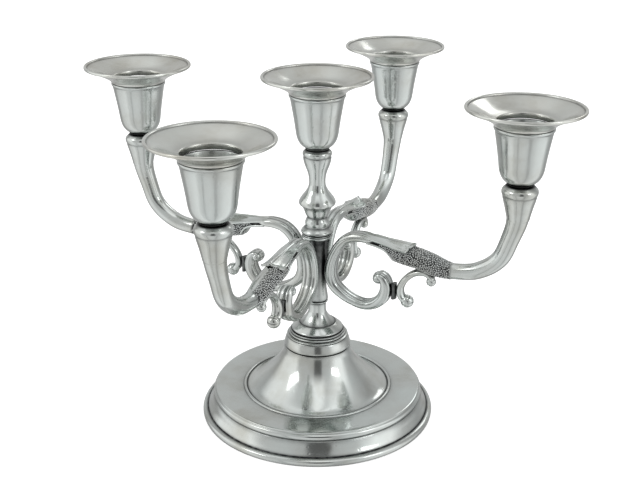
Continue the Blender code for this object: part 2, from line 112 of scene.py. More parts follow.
tent = {
    # brightness by direction: degrees round from the camera, to its right, at three heights
    "low": [
        (-180, 0.6), (-150, 0.46), (-125, 0.42), (-110, 0.8), (-62, 1.0), (-50, 0.76), (-38, 0.78),
        (-35, 0.5), (-32, 0.5), (-29, 0.78), (-5, 0.8), (12, 0.73), (17, 0.52), (24, 0.52), (29, 0.7),
        (60, 0.92), (95, 1.0), (110, 0.58), (125, 0.4), (150, 0.46), (180, 0.6),
    ],
    "middle": [
        (-180, 0.6), (-150, 0.62), (-130, 0.45), (-115, 1.05), (-70, 1.15), (-58, 0.65), (-30, 0.62),
        (-12, 0.55), (-8.5, 0.14), (12, 0.14), (15.5, 0.55), (40, 0.65), (60, 1.2), (80, 1.2), (95, 0.6),
        (120, 0.4), (140, 0.6), (180, 0.6),
    ],
    "high": [
        (-180, 0.75), (-90, 0.95), (-60, 0.65), (-28, 0.62), (-12, 1.2), (14, 1.2), (30, 0.7), (60, 1.2),
        (90, 0.75), (140, 0.55), (180, 0.75),
    ],
    "lowToMiddle": (-0.17, 0.0),  # heights where one row gives way to the next, as sines
    "middleToHigh": (0.64, 0.87),
    "strength": 1.0,
}


def makeWorld():
    # the metal mirrors a tent of white panels and dark gaps; seen directly it is plain white
    world = bpy.data.worlds.new("studioTent")
    bpy.context.scene.world = world
    world.use_nodes = True
    tree = world.node_tree
    tree.nodes.clear()
    add, join = nodesOf(tree)
    way = add("ShaderNodeTexCoord")
    facing = add("ShaderNodeVectorRotate", rotation_type="Z_AXIS")
    facing.inputs["Angle"].default_value = math.radians(90 - studio["azimuth"])
    join(way.outputs["Generated"], facing.inputs["Vector"])
    split = add("ShaderNodeSeparateXYZ")
    join(facing.outputs[0], split.inputs[0])
    around = add("ShaderNodeMath", operation="ARCTAN2")
    join(split.outputs["Y"], around.inputs[0])
    join(split.outputs["X"], around.inputs[1])
    share = add("ShaderNodeMapRange", in_1=-math.pi, in_2=math.pi)
    join(around.outputs[0], share.inputs[0])
    rows = []
    for name in ("low", "middle", "high"):
        row = add("ShaderNodeValToRGB")
        ramp(row, [((degrees + 180) / 360, value) for degrees, value in tent[name]])
        join(share.outputs[0], row.inputs[0])
        rows.append(row.outputs[0])
    light = rows[0]
    for row, name in zip(rows[1:], ("lowToMiddle", "middleToHigh")):
        start, end = tent[name]
        rise = add("ShaderNodeMapRange", in_1=start, in_2=end)
        join(split.outputs["Z"], rise.inputs[0])
        blend = add("ShaderNodeMix", data_type="RGBA")
        join(rise.outputs[0], blend.inputs[0])
        join(light, blend.inputs[6])
        join(row, blend.inputs[7])
        light = blend.outputs[2]
    panels = add("ShaderNodeBackground", in_Strength=tent["strength"])
    join(light, panels.inputs["Color"])
    plain = add("ShaderNodeBackground", in_Strength=1.0)
    plain.inputs["Color"].default_value = (1, 1, 1, 1)
    seen = add("ShaderNodeLightPath")
    both = add("ShaderNodeMixShader")
    join(seen.outputs["Is Camera Ray"], both.inputs[0])
    join(panels.outputs[0], both.inputs[1])
    join(plain.outputs[0], both.inputs[2])
    out = add("ShaderNodeOutputWorld")
    join(both.outputs[0], out.inputs["Surface"])


def makeFloor():
    mesh = bpy.data.meshes.new("paleFloor")
    bm = bmesh.new()
    bmesh.ops.create_circle(bm, cap_ends=True, segments=96, radius=studio["floorRadius"])
    bm.to_mesh(mesh)
    bm.free()
    floor = bpy.data.objects.new("paleFloor", mesh)
    bpy.context.scene.collection.objects.link(floor)
    material = bpy.data.materials.new("paleTable")
    material.use_nodes = True
    shader = material.node_tree.nodes["Principled BSDF"]
    shader.inputs["Base Color"].default_value = (0.9, 0.9, 0.9, 1)
    shader.inputs["Roughness"].default_value = 0.9
    shader.inputs["Emission Color"].default_value = (1, 1, 1, 1)
    shader.inputs["Emission Strength"].default_value = studio["floorGlow"]
    mesh.materials.append(material)
    floor.visible_glossy = False  # the metal mirrors the low row of the tent instead


lamps = {
    "keyPanel": {"place": (-0.9, -0.9, 1.1), "size": 0.55, "power": 1.6},
    "sidePanel": {"place": (1.2, -0.2, 0.8), "size": 0.4, "power": 1.0},
    "backPanel": {"place": (0.2, 1.4, 1.0), "size": 0.6, "power": 1.2},
}
lampTarget = Vector((0, 0, 0.1))


def makeLamps():
    for name, panel in lamps.items():
        data = bpy.data.lights.new(name, "AREA")
        data.shape = "RECTANGLE"
        data.size = panel["size"]
        data.size_y = panel["size"] * 0.7
        data.energy = panel["power"]
        lamp = bpy.data.objects.new(name, data)
        bpy.context.scene.collection.objects.link(lamp)
        lamp.location = panel["place"]
        aim = lampTarget - lamp.location
        lamp.rotation_euler = aim.to_track_quat("-Z", "Y").to_euler()


makeCamera()
makeWorld()
makeFloor()
makeLamps()
bpy.context.scene.view_settings.view_transform = "Standard"
print("camera, light and floor are set")

# finishes

finishes = {
    "polished": {"colour": (0.64, 0.67, 0.65), "roughness": 0.13, "waver": 0.32, "pits": 0.3},
    "cup": {"colour": (0.64, 0.67, 0.65), "roughness": 0.16, "waver": 0.3, "pits": 0.55},
    "dish": {"colour": (0.7, 0.71, 0.67), "roughness": 0.15, "waver": 0.45, "pits": 0.35},
    "grain": {"colour": (0.64, 0.66, 0.65), "roughness": 0.14, "waver": 0.1, "pits": 0.0},
    "steel": {"colour": (0.46, 0.46, 0.46), "roughness": 0.34, "waver": 0.1, "pits": 0.2},
}
# the near-black patina in the grooves, and the painted shade that ambient occlusion adds where surfaces
# meet
patinaAndShade = {
    "colour": (0.018, 0.019, 0.021),
    "reach": 0.0035,  # how near another surface has to be for the painted shade
    "shadeGathers": (0.72, 0.25),  # how open a spot is where the painted shade begins and where it is full
    "speckle": 0.5,
    "cover": 0.72,  # how much of it is left where the speckle is weakest
    "dulls": 0.35,  # roughness that full patina and painted shade add
}
relief = {"waves": 0.0006, "scratches": 0.00004, "pits": 0.00008}  # depths in metres
scratchStrength = 0.1


def pewter(name):
    # bright metal, darker where patina stays in the recesses and with painted shade wherever two surfaces
    # meet, with waves, pits and fine scratches
    look = finishes[name]
    material = bpy.data.materials.new(name + "Pewter")
    material.use_nodes = True
    tree = material.node_tree
    add, join = nodesOf(tree)
    shader = tree.nodes["Principled BSDF"]
    shader.inputs["Metallic"].default_value = 1.0
    place = add("ShaderNodeTexCoord")
    where = place.outputs["Object"]

    clouds = add("ShaderNodeTexNoise", in_Scale=38.0, in_Detail=4.0, in_Roughness=0.6)
    join(where, clouds.inputs["Vector"])
    tone = add("ShaderNodeValToRGB")
    base = Vector(look["colour"])
    warm, cool = Vector((1.03, 1.0, 0.95)), Vector((0.97, 1.0, 1.01))
    stained, paler = base * warm * 0.8, base * cool * 1.1
    ramp(tone, [(0.3, tuple(stained)), (0.5, tuple(base)), (0.72, tuple(paler))])
    join(clouds.outputs["Fac"], tone.inputs[0])

    # patina painted on the mesh, and painted shade gathered by ambient occlusion wherever two surfaces meet
    stored = add("ShaderNodeAttribute", attribute_name="patinaAndShade")
    # painted shade: ambient occlusion darkens the colour wherever another surface is near
    hollow = add("ShaderNodeAmbientOcclusion", samples=6, in_Distance=patinaAndShade["reach"])
    deep = add("ShaderNodeMapRange", in_1=patinaAndShade["shadeGathers"][0], in_2=patinaAndShade["shadeGathers"][1])
    join(hollow.outputs["AO"], deep.inputs[0])
    speckle = add("ShaderNodeTexNoise", in_Scale=420.0, in_Detail=3.0)
    join(where, speckle.inputs["Vector"])
    broken = add("ShaderNodeMath", operation="MULTIPLY_ADD")
    join(speckle.outputs["Fac"], broken.inputs[0])
    broken.inputs[1].default_value = patinaAndShade["speckle"]
    broken.inputs[2].default_value = patinaAndShade["cover"]
    either = add("ShaderNodeMath", operation="MAXIMUM")
    join(stored.outputs["Fac"], either.inputs[0])
    join(deep.outputs[0], either.inputs[1])
    patinaAndShadeMask = add("ShaderNodeMath", operation="MULTIPLY", use_clamp=True)
    join(either.outputs[0], patinaAndShadeMask.inputs[0])
    join(broken.outputs[0], patinaAndShadeMask.inputs[1])
    colour = add("ShaderNodeMix", data_type="RGBA")
    join(patinaAndShadeMask.outputs[0], colour.inputs[0])
    join(tone.outputs[0], colour.inputs[6])
    colour.inputs[7].default_value = (*patinaAndShade["colour"], 1)
    join(colour.outputs[2], shader.inputs["Base Color"])

    # polish: smeared by handling, dull in the patina and the painted shade
    smear = add("ShaderNodeTexNoise", in_Scale=95.0, in_Detail=5.0, in_Roughness=0.65)
    join(where, smear.inputs["Vector"])
    polish = add("ShaderNodeMapRange", in_1=0.3, in_2=0.75)
    polish.inputs[3].default_value = look["roughness"] * 0.7
    polish.inputs[4].default_value = look["roughness"] * 1.6
    join(smear.outputs["Fac"], polish.inputs[0])
    dull = add("ShaderNodeMath", operation="MULTIPLY_ADD", in_1=patinaAndShade["dulls"])
    join(patinaAndShadeMask.outputs[0], dull.inputs[0])
    join(polish.outputs[0], dull.inputs[2])
    join(dull.outputs[0], shader.inputs["Roughness"])

    # relief: slow waves from hand polishing, casting pits, scratches
    waves = add("ShaderNodeTexNoise", in_Scale=70.0, in_Detail=1.0)
    join(where, waves.inputs["Vector"])
    scratchMap = add("ShaderNodeMapping")
    scratchMap.inputs["Rotation"].default_value = (0.3, 0.5, 0.8)
    scratchMap.inputs["Scale"].default_value = (60.0, 1800.0, 1800.0)
    join(where, scratchMap.inputs["Vector"])
    scratches = add("ShaderNodeTexNoise", in_Scale=1.0, in_Detail=2.0)
    join(scratchMap.outputs[0], scratches.inputs["Vector"])
    cells = add("ShaderNodeTexVoronoi", in_Scale=300.0)
    join(where, cells.inputs["Vector"])
    pits = add("ShaderNodeMapRange", in_1=0.0, in_2=0.22)
    join(cells.outputs["Distance"], pits.inputs[0])
    bump = None
    reliefs = [
        (waves.outputs["Fac"], look["waver"], relief["waves"]),
        (scratches.outputs["Fac"], scratchStrength, relief["scratches"]),
        (pits.outputs[0], look["pits"], relief["pits"]),
    ]
    for height, strength, depth in reliefs:
        layer = add("ShaderNodeBump", in_Strength=strength, in_Distance=depth)
        join(height, layer.inputs["Height"])
        if bump:
            join(bump.outputs[0], layer.inputs["Normal"])
        bump = layer
    join(bump.outputs[0], shader.inputs["Normal"])
    return material


metals = {name: pewter(name) for name in finishes}
print("finishes are mixed:", ", ".join(metals))

# turned pieces, from an outline in mm: radius, height, softness of the corner, patina (on the arm hub's
# spindle it is painted shade)


def softened(outline, spans=5):
    # softness 0 keeps a corner sharp, 1 rounds it up to the middles of its two sides
    line = []
    for k, point in enumerate(outline):
        here = np.array(point[:2] + point[3:], float)
        if k in (0, len(outline) - 1) or point[2] == 0:
            line.append(here)
            continue
        before = np.array(outline[k - 1][:2] + outline[k - 1][3:], float)
        after = np.array(outline[k + 1][:2] + outline[k + 1][3:], float)
        start = here + (before - here) * point[2] / 2
        end = here + (after - here) * point[2] / 2
        for t in np.linspace(0, 1, spans):
            line.append(start * (1 - t) ** 2 + here * 2 * t * (1 - t) + end * t * t)
    return line


def turningTree():
    # a grid wrapped round the Z axis: a row takes one point of the outline, a column one step round
    tree = bpy.data.node_groups.new("turning", "GeometryNodeTree")
    sockets = tree.interface
    sockets.new_socket("Outline", in_out="INPUT", socket_type="NodeSocketGeometry")
    steps = sockets.new_socket("Steps", in_out="INPUT", socket_type="NodeSocketInt")
    steps.default_value = 96
    sockets.new_socket("Finish", in_out="INPUT", socket_type="NodeSocketMaterial")
    sockets.new_socket("Turned", in_out="OUTPUT", socket_type="NodeSocketGeometry")
    add, join = nodesOf(tree)
    given = add("NodeGroupInput")
    size = add("GeometryNodeAttributeDomainSize")
    join(given.outputs["Outline"], size.inputs[0])
    columns = add("ShaderNodeMath", operation="ADD", in_1=1.0)
    join(given.outputs["Steps"], columns.inputs[0])
    grid = add("GeometryNodeMeshGrid")
    join(columns.outputs[0], grid.inputs["Vertices X"])
    join(size.outputs["Point Count"], grid.inputs["Vertices Y"])
    index = add("GeometryNodeInputIndex")
    row = add("ShaderNodeMath", operation="MODULO")
    join(index.outputs[0], row.inputs[0])
    join(size.outputs["Point Count"], row.inputs[1])
    ratio = add("ShaderNodeMath", operation="DIVIDE")
    join(index.outputs[0], ratio.inputs[0])
    join(size.outputs["Point Count"], ratio.inputs[1])
    column = add("ShaderNodeMath", operation="FLOOR")
    join(ratio.outputs[0], column.inputs[0])
    share = add("ShaderNodeMath", operation="DIVIDE")
    join(column.outputs[0], share.inputs[0])
    join(given.outputs["Steps"], share.inputs[1])
    angle = add("ShaderNodeMath", operation="MULTIPLY", in_1=math.tau)
    join(share.outputs[0], angle.inputs[0])
    spot = add("GeometryNodeInputPosition")
    drawn = add("GeometryNodeSampleIndex", data_type="FLOAT_VECTOR")
    join(given.outputs["Outline"], drawn.inputs["Geometry"])
    join(spot.outputs[0], drawn.inputs["Value"])
    join(row.outputs[0], drawn.inputs["Index"])
    turned = add("ShaderNodeVectorRotate", rotation_type="Z_AXIS")
    join(drawn.outputs[0], turned.inputs["Vector"])
    join(angle.outputs[0], turned.inputs["Angle"])
    patinaAndShade = add("GeometryNodeInputNamedAttribute", data_type="FLOAT", in_Name="patinaAndShade")
    drawnPatinaAndShade = add("GeometryNodeSampleIndex", data_type="FLOAT")
    join(given.outputs["Outline"], drawnPatinaAndShade.inputs["Geometry"])
    join(patinaAndShade.outputs[0], drawnPatinaAndShade.inputs["Value"])
    join(row.outputs[0], drawnPatinaAndShade.inputs["Index"])
    stored = add("GeometryNodeStoreNamedAttribute", data_type="FLOAT", domain="POINT", in_Name="patinaAndShade")
    join(grid.outputs["Mesh"], stored.inputs["Geometry"])
    join(drawnPatinaAndShade.outputs[0], stored.inputs["Value"])
    wrapped = add("GeometryNodeSetPosition")
    join(stored.outputs[0], wrapped.inputs["Geometry"])
    join(turned.outputs[0], wrapped.inputs["Position"])
    welded = add("GeometryNodeMergeByDistance", in_Distance=weld)
    join(wrapped.outputs[0], welded.inputs["Geometry"])
    smooth = add("GeometryNodeSetShadeSmooth")
    join(welded.outputs[0], smooth.inputs["Geometry"])
    realized = add("GeometryNodeRealizeInstances")
    join(smooth.outputs[0], realized.inputs["Geometry"])
    coated = add("GeometryNodeSetMaterial")
    join(realized.outputs[0], coated.inputs["Geometry"])
    join(given.outputs["Finish"], coated.inputs["Material"])
    out = add("NodeGroupOutput")
    join(coated.outputs[0], out.inputs[0])
    return tree


def applied(piece, tree, values):
    # runs a node tree on a piece and keeps the plain mesh that it makes
    modifier = piece.modifiers.new(tree.name, "NODES")
    modifier.node_group = tree
    for item in tree.interface.items_tree:
        if item.item_type == "SOCKET" and item.in_out == "INPUT" and item.name in values:
            modifier[item.identifier] = values[item.name]
    bpy.context.view_layer.update()
    mesh = bpy.data.meshes.new_from_object(piece.evaluated_get(bpy.context.evaluated_depsgraph_get()))
    piece.modifiers.remove(modifier)
    return mesh


def outward(mesh):
    # closes seams and turns every face outwards
    bm = bmesh.new()
    bm.from_mesh(mesh)
    bmesh.ops.remove_doubles(bm, verts=bm.verts, dist=weld)
    bmesh.ops.dissolve_degenerate(bm, edges=bm.edges, dist=weld / 2)
    bmesh.ops.recalc_face_normals(bm, faces=bm.faces)
    bm.to_mesh(mesh)
    bm.free()
    mesh.shade_smooth()


turning = turningTree()


def turnedMesh(outline, steps, finish, bottom=0.0):
    # bottom is the height of the outline's zero, in mm
    closed = outline[0][0] > 0
    line = softened(outline + [outline[0]] if closed else outline)
    mesh = bpy.data.meshes.new("outline")
    mesh.from_pydata([(p[0] * mm, 0, (p[1] + bottom) * mm) for p in line], [], [])
    mesh.attributes.new("patinaAndShade", "FLOAT", "POINT").data.foreach_set("value", [float(p[2]) for p in line])
    blank = bpy.data.objects.new("outline", mesh)
    bpy.context.scene.collection.objects.link(blank)
    turned = applied(blank, turning, {"Steps": steps, "Finish": metals[finish]})
    bpy.data.objects.remove(blank)
    bpy.data.meshes.remove(mesh)
    outward(turned)
    return turned


def addPiece(name, mesh, body, replaced=()):
    mesh.name = name
    piece = bpy.data.objects.new(name, mesh)
    bpy.context.scene.collection.objects.link(piece)
    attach(piece, body)
    if replaced:
        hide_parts(*replaced)
    return piece


def moved(mesh, x=0.0, y=0.0, z=0.0, turn=0.0):
    copy = mesh.copy()
    copy.transform(Matrix.Rotation(turn, 4, "Z"))
    copy.transform(Matrix.Translation((x, y, z)))
    return copy


# foot and column

foot = {
    "steps": 192,
    "outline": [
        (2.3, 36.0, 0, 1), (15.4, 36.0, 0.4, 1), (16.3, 35.7, 0.8, 0.4), (16.5, 34.6, 1, 0),
        (17.1, 32.3, 1, 0), (18.8, 29.2, 1, 0), (21.3, 25.8, 1, 0), (24.0, 22.9, 1, 0),
        (26.9, 20.1, 1, 0), (29.8, 17.6, 1, 0),
        (32.4, 15.6, 1, 0), (34.6, 14.5, 0.7, 0.05), (35.2, 14.1, 0.4, 0.9), (35.5, 14.05, 0.4, 0.9),
        (35.8, 14.6, 0.8, 0.1), (36.4, 14.75, 1, 0), (36.9, 14.4, 0.8, 0.2), (37.1, 13.95, 0.4, 0.8),
        (37.6, 13.9, 0.7, 0.1), (44.0, 14.0, 1, 0), (50.0, 14.3, 0.8, 0),
        (51.1, 14.1, 0.9, 0), (51.15, 13.4, 0.6, 0.25),
        (51.9, 12.9, 0.8, 0), (52.2, 11.8, 1, 0), (51.95, 10.7, 0.7, 0.3), (51.4, 10.35, 0.3, 1),
        (51.9, 9.95, 0.6, 0.4), (52.7, 8.6, 1, 0), (53.5, 6.4, 1, 0), (54.9, 4.4, 0.9, 0),
        (55.2, 3.8, 0.3, 1), (55.5, 3.5, 0.3, 1), (56.6, 3.4, 0.8, 0.1), (57.8, 2.7, 1, 0),
        (58.0, 1.4, 1, 0), (57.6, 0.0, 0.6, 0.3), (54.6, 0.0, 0.3, 0.6), (51.6, 8.6, 0.6, 0.3),
        (48.8, 12.2, 0.6, 0.3), (33.0, 12.2, 0.6, 0.3), (25.4, 18.4, 1, 0.2), (20.2, 23.8, 1, 0.2),
        (15.2, 30.4, 1, 0.3), (14.0, 33.4, 0.5, 0.6), (2.3, 33.4, 0, 0.6),
    ],
}
column = {
    "steps": 112,
    "base_ring": [
        (2.3, 8.2, 0, 1), (12.9, 8.2, 0.3, 0.9), (13.5, 7.85, 0.9, 0.1), (13.3, 7.35, 0.6, 0.6),
        (13.0, 7.2, 0.3, 1), (13.6, 7.05, 0.6, 0.4), (14.1, 6.7, 0.9, 0), (13.9, 6.2, 0.6, 0.6),
        (13.6, 6.1, 0.3, 1), (14.3, 5.95, 0.6, 0.4), (15.1, 5.6, 0.9, 0), (15.0, 5.15, 0.6, 0.5),
        (14.5, 5.0, 0.3, 1), (15.0, 4.85, 0.6, 0.4), (15.5, 4.0, 0.8, 0), (16.5, 0.6, 0.8, 0.05),
        (16.3, 0.0, 0.5, 1), (2.3, 0.0, 0, 1),
    ],
    "lower_stem": [
        (2.3, 15.1, 0, 1), (4.4, 15.1, 0.3, 0.8), (5.2, 14.9, 0.9, 0.1), (5.2, 14.3, 0.9, 0.2),
        (4.4, 13.95, 0.5, 0.9), (4.3, 13.0, 0.8, 0.1), (4.2, 9.8, 1, 0), (4.7, 7.9, 1, 0),
        (6.7, 5.2, 1, 0), (8.3, 3.75, 0.5, 0.5), (8.8, 3.35, 0.3, 1), (9.4, 3.25, 0.6, 0.2),
        (11.2, 1.9, 1, 0), (12.6, 0.7, 0.8, 0.1), (12.7, 0.0, 0.4, 0.9), (2.3, 0.0, 0, 1),
    ],
    # the spindle's high patina is painted shade: it darkens the hub in the gap between the arms
    "arm_hub": [
        (2.3, 31.8, 0, 1), (4.4, 31.8, 0.3, 0.9), (4.4, 28.0, 1, 0.85), (4.3, 12.0, 1, 0.75),
        (4.5, 6.0, 1, 0.2), (5.3, 1.2, 0.8, 0.1), (5.2, 0.0, 0.4, 0.8), (2.3, 0.0, 0, 1),
    ],
    "ring_collar": [
        (2.3, 2.5, 0, 1), (6.4, 2.5, 0.3, 0.9), (7.2, 2.3, 0.9, 0.1), (7.2, 1.85, 0.7, 0.3),
        (6.8, 1.7, 0.3, 1), (7.3, 1.5, 0.7, 0.2), (7.5, 1.0, 1, 0), (7.2, 0.5, 0.8, 0.3),
        (6.5, 0.0, 0.5, 1), (2.3, 0.0, 0, 1),
    ],
    "upper_stem": [
        (2.3, 41.1, 0, 1), (5.6, 41.1, 0.3, 1), (5.9, 40.6, 0.7, 0.7), (6.7, 40.1, 0.9, 0.1),
        (7.0, 39.2, 1, 0), (6.7, 38.3, 0.8, 0.15), (6.5, 37.8, 0.4, 0.7), (6.7, 37.2, 0.7, 0.1),
        (6.5, 35.6, 1, 0), (5.8, 33.2, 1, 0), (4.7, 30.6, 1, 0), (4.0, 27.8, 1, 0), (3.85, 25.4, 1, 0),
        (4.0, 23.4, 1, 0), (5.2, 20.9, 1, 0), (7.2, 18.4, 1, 0), (8.6, 16.3, 1, 0), (8.8, 15.0, 0.8, 0),
        (8.5, 14.2, 0.6, 0.1), (7.6, 13.9, 0.3, 0.9), (7.4, 13.4, 0.6, 0.3), (6.7, 12.3, 1, 0.05),
        (6.1, 10.6, 1, 0), (5.5, 8.9, 1, 0.1), (4.8, 7.9, 0.5, 0.8), (5.1, 7.2, 0.8, 0.2),
        (5.8, 5.9, 1, 0), (5.9, 4.7, 1, 0), (5.6, 3.7, 0.7, 0.3), (5.9, 3.1, 0.4, 0.8),
        (6.9, 2.2, 0.8, 0.1), (7.9, 1.0, 0.9, 0.1), (7.6, 0.0, 0.4, 0.9), (2.3, 0.0, 0, 1),
    ],
}


def makeColumn():
    mesh = turnedMesh(foot["outline"], foot["steps"], "polished")
    addPiece("foot_turned", mesh, "column", ["foot"])
    for node in ("base_ring", "lower_stem", "arm_hub", "ring_collar", "upper_stem"):
        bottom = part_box(node)[0].z / mm
        mesh = turnedMesh(column[node], column["steps"], "polished", bottom)
        addPiece(node + "_turned", mesh, "column", [node])


makeColumn()
print("foot and column are turned")

# candle cups and drip pans

cup = {
    "steps": 96,
    "outline": [
        (0.0, 7.0, 0, 0.6), (8.1, 7.0, 0.5, 0.5), (8.8, 8.2, 0.7, 0.3), (10.3, 19.1, 1, 0.12),
        (11.6, 24.8, 0.8, 0.15), (11.9, 25.7, 0.4, 0.3), (12.3, 25.9, 0.3, 0.3), (12.9, 25.9, 0.6, 0.2),
        (13.2, 25.5, 0.8, 0), (13.15, 24.9, 0.8, 0), (12.85, 24.5, 0.6, 0.35), (12.55, 24.0, 0.8, 0.05),
        (11.7, 19.1, 1, 0), (10.9, 14.5, 1, 0), (10.2, 9.6, 1, 0), (9.8, 6.5, 1, 0), (9.0, 4.0, 1, 0),
        (7.6, 2.0, 1, 0.05), (5.9, 0.8, 0.9, 0.3), (5.5, 0.0, 0.4, 1), (2.3, 0.0, 0.2, 1),
        (2.3, 4.3, 0.2, 1), (0.0, 4.3, 0, 1),
    ],
}
pan = {
    "steps": 128,
    "outline": [
        (24.35, 7.3, 0.4, 0.7), (24.55, 8.0, 1, 0.1), (25.2, 8.3, 1, 0), (25.85, 8.15, 1, 0),
        (26.0, 7.55, 1, 0), (25.85, 6.95, 1, 0), (25.25, 6.75, 1, 0.1), (24.6, 6.75, 0.8, 0.3),
        (22.0, 5.6, 1, 0.05), (18.9, 4.2, 1, 0), (16.0, 2.7, 1, 0), (14.1, 1.4, 1, 0.05),
        (13.4, 0.6, 0.9, 0), (13.2, 0.0, 0.4, 0.2),
        (12.0, 0.0, 0.3, 0.6), (12.05, 1.6, 0.6, 0.3), (12.3, 2.5, 0.7, 0.1), (13.4, 2.75, 0.9, 0.2),
        (15.6, 3.35, 1, 0.05), (18.9, 5.0, 1, 0), (22.0, 6.4, 1, 0), (23.9, 7.2, 0.6, 0.1),
    ],
}


def makeCandlePlaces():
    cupMesh = turnedMesh(cup["outline"], cup["steps"], "cup")
    panMesh = turnedMesh(pan["outline"], pan["steps"], "dish")
    for place in ("centre", *directions):
        low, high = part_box(place + "_cup")
        x, y = (low.x + high.x) / 2, (low.y + high.y) / 2
        body = place + "_cup_body"
        addPiece(place + "_cup_turned", moved(cupMesh, x, y, low.z), body, [place + "_cup"])
        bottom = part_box(place + "_pan")[0].z
        addPiece(place + "_pan_spun", moved(panMesh, x, y, bottom), body, [place + "_pan"])


makeCandlePlaces()
print("candle cups and drip pans are in place")

# arms, drawn along +X in mm: reach from the column, height, and sizes

scroll = {
    "halfWidth": 4.0,
    "reeds": 3,
    "reedDepth": 0.42,
    "reedPatina": 0.85,
    "edgePoints": 22,  # along each face
    "reedsFrom": 0.16,  # share of the path where the reeds begin to show on its outer face
    "samples": 8,
    "path": [
        (30.0, 95.9, 1.5, 0.8), (27.5, 96.1, 2.0, 1.0), (23.4, 96.4, 2.2, 1.0), (18.2, 95.5, 2.3, 1.0),
        (13.8, 92.6, 2.4, 1.0), (10.5, 87.8, 2.4, 1.0), (8.4, 83.0, 2.5, 1.0), (7.4, 78.5, 2.65, 1.0),
        (7.4, 74.4, 2.65, 1.0), (9.3, 69.6, 2.6, 1.0), (13.6, 65.9, 2.3, 1.0), (19.0, 63.3, 2.0, 1.0),
        (24.9, 62.1, 2.1, 1.0), (30.3, 63.5, 2.5, 1.0), (34.6, 67.4, 2.9, 1.0), (36.3, 72.3, 2.75, 1.0),
        (35.6, 76.4, 2.3, 1.0), (33.6, 78.5, 1.7, 0.95), (31.7, 78.3, 1.3, 0.9),
    ],
    "boss": ((32.3, 77.2), 2.9, 6, 1.45),  # centre, radius, notches, length beside width
}
tube = {
    "sides": 56,
    "samples": 7,
    "path": [  # reach, height, radius upwards, radius to the side
        (28.0, 95.5, 1.4, 3.6), (33.0, 95.1, 1.8, 3.8), (36.8, 94.3, 2.3, 4.0), (39.4, 92.9, 3.9, 4.4),
        (41.2, 92.1, 4.75, 4.75), (46.0, 91.0, 4.85, 4.85), (51.5, 90.2, 4.75, 4.75),
        (57.5, 88.6, 4.9, 4.9), (61.5, 87.6, 4.55, 4.55), (65.5, 86.9, 4.05, 4.05),
        (70.0, 86.9, 3.75, 3.75), (77.6, 88.1, 3.9, 3.9),
        (83.7, 91.0, 4.0, 4.0), (88.3, 94.6, 4.05, 4.05), (91.4, 98.9, 4.1, 4.1), (94.0, 106.2, 4.2, 4.2),
        (96.2, 113.2, 4.6, 4.6), (97.0, 118.2, 5.2, 5.2),
    ],
    "grainFrom": 29.0,  # reach where the patina round the grains begins
    "grainTo": 68.5,  # and where it ends
    "stain": 0.97,
    # patina taken off the top of the tube: a painted highlight, partly wear
    "stainLiftedOnTopAsHighlightAndWear": 0.2,
    "rim": [  # reach, to the side, height: it parts the smooth underside from the grains
        (27.0, 3.6, 94.9), (31.0, 3.85, 94.4), (34.5, 3.95, 93.6), (37.0, 4.0, 92.5), (39.0, 3.9, 90.5),
        (40.4, 2.8, 88.4), (41.0, 0.0, 87.4),
    ],
    "rimRadius": 0.55,
    "pebblesFrom": 33.5,  # the slot before them is smooth and dark
    "bareSideArm": "ny",  # its texture and patina are left along one side only; the pale bare side is a painted highlight
    "vase": [
        (0.0, 132.2, 0, 1), (5.6, 132.2, 0.3, 1), (6.3, 132.1, 0.6, 0.9), (6.9, 131.5, 0.9, 0.2),
        (7.8, 130.7, 1, 0), (8.2, 129.5, 1, 0), (7.9, 128.2, 0.9, 0.05), (7.6, 127.7, 0.5, 0.5),
        (7.55, 127.0, 0.8, 0.05), (7.2, 125.4, 1, 0), (6.5, 123.0, 1, 0), (5.85, 120.4, 1, 0),
        (5.3, 118.0, 1, 0), (4.9, 116.0, 0.5, 0), (0.0, 116.0, 0, 0),
    ],
}
leaf = {
    "from": 25.5,  # reach of its root
    "tip": 50.4,
    "lobe": 3.5,  # how far the sides stop short of the tip
    "notch": 0.8,  # how far the end dips between its lobes
    "crown": 98.3,  # height of its middle line at the root
    "fall": 1.3,  # how much lower that line is at the tip
    "halfWidth": 3.95,  # at the root
    "flare": 2.05,  # added to it by the tip
    "droop": 1.0,  # how far the sides hang below the middle at the root
    "saddle": 1.9,  # added to that where it lies on the tube
    "saddleFrom": 29.0,
    "saddleOver": 15.0,
    "rib": 0.35,
    "hollow": 0.7,
    "endLip": 0.4,
    "sideLip": 0.3,
    "veinPatina": 0.4,
    "rows": 44,
    "columns": 44,
    "thickness": 1.0,
    "edge": 0.3,
}
grains = {
    "spacing": 0.76,
    "radius": 0.42,
    "seed": 7,
    "smallest": (0.8, 0.8, 0.6),  # shares of the radius, across and up
    "largest": (1.1, 1.1, 0.9),
    "thinOver": 3.0,  # length over which they thin out at the outer end
    "coverTo": 3.0,  # how far short of the leaf's tip the leaf hides the tube
    "coverAbove": 95.2,
    "rimGap": 0.3,
    "skinSides": 40,
}


def limited(value, low=0.0):
    return min(max(value, low), 1.0)


def ridge(distance, width):
    # 1 on a line, falling smoothly to nothing beside it
    return math.exp(-((distance / width) ** 2))


def closeRings(bm, rings, capped=True):
    # joins neighbouring rings of points by faces that point outwards
    for near, far in zip(rings, rings[1:]):
        for k in range(len(near)):
            n = (k + 1) % len(near)
            bm.faces.new((near[k], near[n], far[n], far[k]))
    if capped:
        bm.faces.new(rings[0][::-1])
        bm.faces.new(rings[-1])
    bmesh.ops.recalc_face_normals(bm, faces=bm.faces)


def through(points, samples):
    # a smooth line through the points
    line = []
    for k in range(len(points) - 1):
        a, b, c, d = (np.array(points[min(max(k + j, 0), len(points) - 1)], float) for j in (-1, 0, 1, 2))
        for t in np.arange(samples) / samples:
            line.append(b + 0.5 * t * (c - a + t * (2 * a - 5 * b + 4 * c - d + t * (3 * (b - c) + d - a))))
    line.append(np.array(points[-1], float))
    return line


